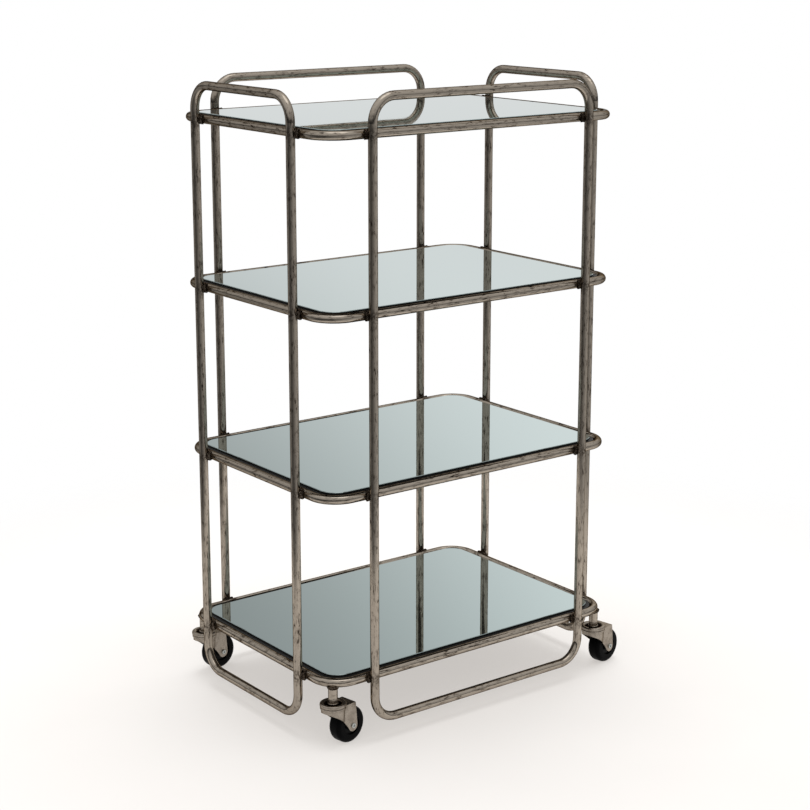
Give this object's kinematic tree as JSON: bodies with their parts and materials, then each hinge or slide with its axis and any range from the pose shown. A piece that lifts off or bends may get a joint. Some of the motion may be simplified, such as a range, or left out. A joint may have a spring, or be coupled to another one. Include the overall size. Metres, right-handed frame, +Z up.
{
  "type": "bar cart",
  "caption": "Tall bar cart of bent round tube: mirror shelves in rounded tube frames, held by tube loops on every side that rise into handles, on swivel casters.",
  "frame": {"origin": "on the floor, at the bottom centre of the box around the cart with its casters trailing towards +X", "axes": "+Z up, +X along the long side, +Y along the short side towards the back"},
  "size_m": [0.855, 0.6014, 1.351],
  "materials": {
    "aged_nickel": "aged nickel-plated steel, satin with dark mottling",
    "weld_steel": "dark stained weld",
    "mirror_glass": "mirror glass with a faint green-grey tint",
    "black_board": "painted black",
    "tab_steel": "dull",
    "caster_nickel": "satin nickel-plated pressed steel",
    "ball_steel": "polished",
    "zinc_bolt": "zinc plated",
    "black_rubber": "smooth, slightly glossy",
    "black_plastic": "moulded, slightly glossy"
  },
  "bodies": {
    "cart": {"shelf_frame_1": "aged_nickel", "mirror_1": "mirror_glass", "backing_board_1": "black_board", "support_tabs_1": "tab_steel", "weld_beads_1": "weld_steel", "shelf_frame_2": "aged_nickel", "mirror_2": "mirror_glass", "backing_board_2": "black_board", "support_tabs_2": "tab_steel", "weld_beads_2": "weld_steel", "shelf_frame_3": "aged_nickel", "mirror_3": "mirror_glass", "backing_board_3": "black_board", "support_tabs_3": "tab_steel", "weld_beads_3": "weld_steel", "shelf_frame_4": "aged_nickel", "mirror_4": "mirror_glass", "backing_board_4": "black_board", "support_tabs_4": "tab_steel", "weld_beads_4": "weld_steel", "front_loop": "aged_nickel", "back_loop": "aged_nickel", "left_loop": "aged_nickel", "right_loop": "aged_nickel", "caster_sleeve_front_left": "aged_nickel", "caster_stem_front_left": "caster_nickel", "top_race_front_left": "caster_nickel", "ball_ring_front_left": "ball_steel", "caster_sleeve_front_right": "aged_nickel", "caster_stem_front_right": "caster_nickel", "top_race_front_right": "caster_nickel", "ball_ring_front_right": "ball_steel", "caster_sleeve_back_left": "aged_nickel", "caster_stem_back_left": "caster_nickel", "top_race_back_left": "caster_nickel", "ball_ring_back_left": "ball_steel", "caster_sleeve_back_right": "aged_nickel", "caster_stem_back_right": "caster_nickel", "top_race_back_right": "caster_nickel", "ball_ring_back_right": "ball_steel"},
    "caster_front_left": {"fork_front_left": "caster_nickel", "axle_bolt_front_left": "zinc_bolt", "axle_nut_front_left": "zinc_bolt"},
    "wheel_front_left": {"tyre_front_left": "black_rubber", "hub_front_left": "black_plastic"},
    "caster_front_right": {"fork_front_right": "caster_nickel", "axle_bolt_front_right": "zinc_bolt", "axle_nut_front_right": "zinc_bolt"},
    "wheel_front_right": {"tyre_front_right": "black_rubber", "hub_front_right": "black_plastic"},
    "caster_back_left": {"fork_back_left": "caster_nickel", "axle_bolt_back_left": "zinc_bolt", "axle_nut_back_left": "zinc_bolt"},
    "wheel_back_left": {"tyre_back_left": "black_rubber", "hub_back_left": "black_plastic"},
    "caster_back_right": {"fork_back_right": "caster_nickel", "axle_bolt_back_right": "zinc_bolt", "axle_nut_back_right": "zinc_bolt"},
    "wheel_back_right": {"tyre_back_right": "black_rubber", "hub_back_right": "black_plastic"}
  },
  "joints": [
    {"name": "front_left_swivel", "type": "hinge", "parent": "cart", "child": "caster_front_left", "pos_m": [-0.38309, -0.2556, 0.08486], "axis": [0, 0, 1], "continuous": true},
    {"name": "front_left_wheel_spin", "type": "hinge", "parent": "caster_front_left", "child": "wheel_front_left", "pos_m": [-0.34468, -0.24883, 0.0395], "axis": [-0.1736, 0.9848, 0], "continuous": true},
    {"name": "front_right_swivel", "type": "hinge", "parent": "cart", "child": "caster_front_right", "pos_m": [0.34811, -0.2556, 0.08486], "axis": [0, 0, 1], "continuous": true},
    {"name": "front_right_wheel_spin", "type": "hinge", "parent": "caster_front_right", "child": "wheel_front_right", "pos_m": [0.38651, -0.24883, 0.0395], "axis": [-0.1736, 0.9848, 0], "continuous": true},
    {"name": "back_left_swivel", "type": "hinge", "parent": "cart", "child": "caster_back_left", "pos_m": [-0.38309, 0.2556, 0.08486], "axis": [0, 0, 1], "continuous": true},
    {"name": "back_left_wheel_spin", "type": "hinge", "parent": "caster_back_left", "child": "wheel_back_left", "pos_m": [-0.34468, 0.26237, 0.0395], "axis": [-0.1736, 0.9848, 0], "continuous": true},
    {"name": "back_right_swivel", "type": "hinge", "parent": "cart", "child": "caster_back_right", "pos_m": [0.34811, 0.2556, 0.08486], "axis": [0, 0, 1], "continuous": true},
    {"name": "back_right_wheel_spin", "type": "hinge", "parent": "caster_back_right", "child": "wheel_back_right", "pos_m": [0.38651, 0.26237, 0.0395], "axis": [-0.1736, 0.9848, 0], "continuous": true}
  ]
}
